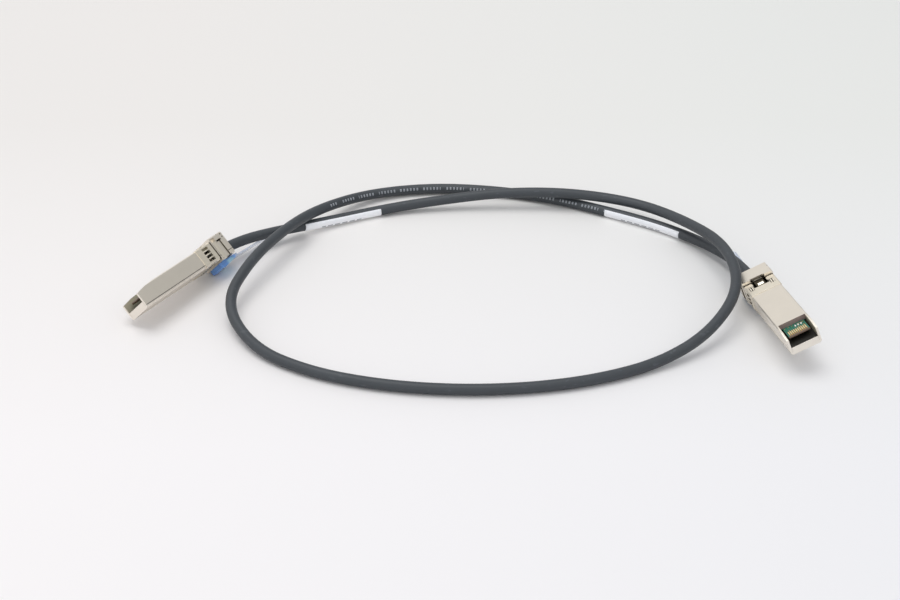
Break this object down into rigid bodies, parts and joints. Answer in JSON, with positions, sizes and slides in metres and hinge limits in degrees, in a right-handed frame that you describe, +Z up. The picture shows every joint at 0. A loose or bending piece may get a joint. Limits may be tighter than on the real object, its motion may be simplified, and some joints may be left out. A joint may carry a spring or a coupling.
{
  "type": "direct attach copper cable",
  "caption": "Round twin-axial copper cable laid in a loose loop, with a metal pluggable module at each end, spring-finger collars, latches, pull tabs and two white cable labels",
  "frame": {"origin": "on the table, below the middle of the box round the two plugs with their pull tabs", "axes": "X along the table from the left plug to the right plug, Y away from the viewer, Z up"},
  "size_m": [0.2828, 0.1613, 0.0208],
  "materials": {
    "cast_metal": "satin",
    "screw_steel": "satin",
    "spring_steel": "satin",
    "card_laminate": "gloss",
    "contact_gold": "gloss",
    "card_components": "matte",
    "wire_insulation": "satin",
    "crimp_metal": "satin",
    "latch_metal": "satin",
    "slide_metal": "satin",
    "tab_plastic": "satin",
    "cable_jacket": "satin",
    "label_film": "matte"
  },
  "bodies": {
    "root": {"left_plug_shell": "cast_metal", "left_plug_cover": "cast_metal", "left_cover_screws": "screw_steel", "left_emi_collar": "spring_steel", "left_paddle_card": "card_laminate", "left_card_contacts": "contact_gold", "left_card_parts": "card_components", "left_signal_wires": "wire_insulation", "left_crimp_ring": "crimp_metal", "left_latch_pin": "screw_steel", "left_latch_spring": "spring_steel", "right_plug_shell": "cast_metal", "right_plug_cover": "cast_metal", "right_cover_screws": "screw_steel", "right_emi_collar": "spring_steel", "right_paddle_card": "card_laminate", "right_card_contacts": "contact_gold", "right_card_parts": "card_components", "right_signal_wires": "wire_insulation", "right_crimp_ring": "crimp_metal", "right_latch_pin": "screw_steel", "right_latch_spring": "spring_steel", "cable": "cable_jacket", "left_label": "label_film", "right_label": "label_film"},
    "left_release": {"left_release_slide": "slide_metal", "left_pull_tab": "tab_plastic"},
    "left_latch": {"left_latch_lever": "latch_metal"},
    "right_release": {"right_release_slide": "slide_metal", "right_pull_tab": "tab_plastic"},
    "right_latch": {"right_latch_lever": "latch_metal"}
  },
  "joints": [
    {"name": "left_release_pull", "type": "slide", "parent": "root", "child": "left_release", "axis": [0.5277, 0.8484, -0.042], "range_m": [0, 0.0025], "stiffness_N_per_m": 400},
    {"name": "left_latch_tilt", "type": "hinge", "parent": "root", "child": "left_latch", "pos_m": [-0.11208, 0.02308, 0.01116], "axis": [0.5885, -0.3294, 0.7384], "range_deg": [0, 8], "deforming": ["left_latch_spring"]},
    {"name": "right_release_pull", "type": "slide", "parent": "root", "child": "right_release", "axis": [-0.1862, 0.9734, -0.1333], "range_m": [0, 0.0025], "stiffness_N_per_m": 400},
    {"name": "right_latch_tilt", "type": "hinge", "parent": "root", "child": "right_latch", "pos_m": [0.12349, -0.00308, 0.01237], "axis": [0.9036, 0.223, 0.3658], "range_deg": [0, 8], "deforming": ["right_latch_spring"]}
  ],
  "couplings": [
    {"joint": "left_latch_tilt", "follows": "left_release_pull", "rad_per_m": 55},
    {"joint": "right_latch_tilt", "follows": "right_release_pull", "rad_per_m": 55}
  ]
}
